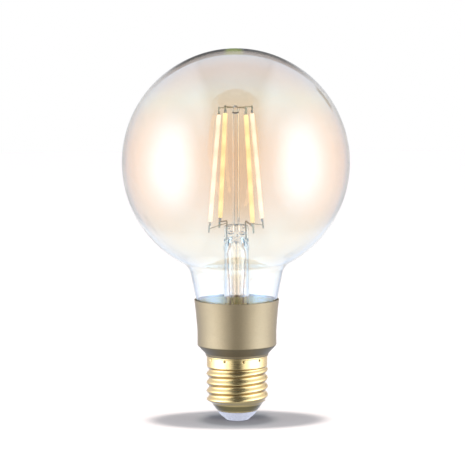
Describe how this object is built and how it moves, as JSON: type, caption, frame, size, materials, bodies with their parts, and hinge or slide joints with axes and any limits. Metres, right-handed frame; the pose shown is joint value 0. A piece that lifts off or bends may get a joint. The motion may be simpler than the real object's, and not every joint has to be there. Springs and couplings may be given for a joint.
{
  "type": "smart filament light bulb",
  "caption": "Globe-shaped glass lamp with upright filament rods, a metallic collar holding its electronics, and an Edison screw cap.",
  "frame": {"origin": "centre of the contact face at the foot of the cap", "axes": "+Z along the lamp's axis from the cap towards the globe; -Y is the front; +X is to the right seen from the front"},
  "size_m": [0.096, 0.096, 0.1576],
  "materials": {
    "coated_glass": "clear glass with a thin warm coating",
    "clear_glass": "clear soft glass",
    "phosphor": "yellow phosphor silicone",
    "ceramic": "white ceramic",
    "semiconductor": "polished die",
    "nickel_wire": "drawn nickel-plated wire",
    "collar_gold": "satin champagne-gold metallised plastic",
    "cement": "white bonding cement",
    "shell_brass": "polished rolled brass",
    "insulator_white": "moulded white insulator",
    "contact_metal": "nickel-plated brass",
    "board_green": "green solder mask",
    "aluminium_can": "drawn aluminium",
    "black_rubber": "black rubber",
    "wrap_film": "dark blue shrink film",
    "ferrite": "sintered ferrite",
    "copper": "enamelled copper",
    "black_epoxy": "moulded black epoxy",
    "resistor_body": "lacquered ceramic",
    "tinned_metal": "tin plate",
    "red_insulation": "red wire insulation",
    "black_insulation": "black wire insulation",
    "white_sleeving": "white silicone sleeving"
  },
  "bodies": {
    "root": {"globe_envelope": "coated_glass", "stem_mount": "clear_glass", "exhaust_tube": "clear_glass", "centre_post": "clear_glass", "post_bead": "clear_glass", "top_spider_wire": "nickel_wire", "left_lead_wire": "nickel_wire", "right_lead_wire": "nickel_wire", "left_branch_wire": "nickel_wire", "right_branch_wire": "nickel_wire", "filament_sleeve_1": "phosphor", "filament_sleeve_2": "phosphor", "filament_sleeve_3": "phosphor", "filament_sleeve_4": "phosphor", "filament_strip_1": "ceramic", "filament_strip_2": "ceramic", "filament_strip_3": "ceramic", "filament_strip_4": "ceramic", "filament_end_tabs": "nickel_wire", "filament_chips": "semiconductor", "collar_housing": "collar_gold", "neck_cement": "cement", "screw_shell": "shell_brass", "cap_insulator": "insulator_white", "centre_contact": "contact_metal", "driver_board": "board_green", "radio_board": "board_green", "capacitor_can": "aluminium_can", "capacitor_bung": "black_rubber", "capacitor_wrap": "wrap_film", "choke_core": "ferrite", "choke_winding": "copper", "bridge_rectifier": "black_epoxy", "driver_chip": "black_epoxy", "chip_legs": "tinned_metal", "fusible_resistor": "resistor_body", "small_passives": "ceramic", "radio_shield": "tinned_metal", "radio_chip": "black_epoxy", "radio_crystal": "tinned_metal", "antenna_trace": "copper", "header_blocks": "black_epoxy", "header_pins": "tinned_metal", "solder_joints": "tinned_metal", "lead_sleeving": "white_sleeving", "live_wire": "red_insulation", "neutral_wire": "black_insulation"}
  },
  "joints": []
}
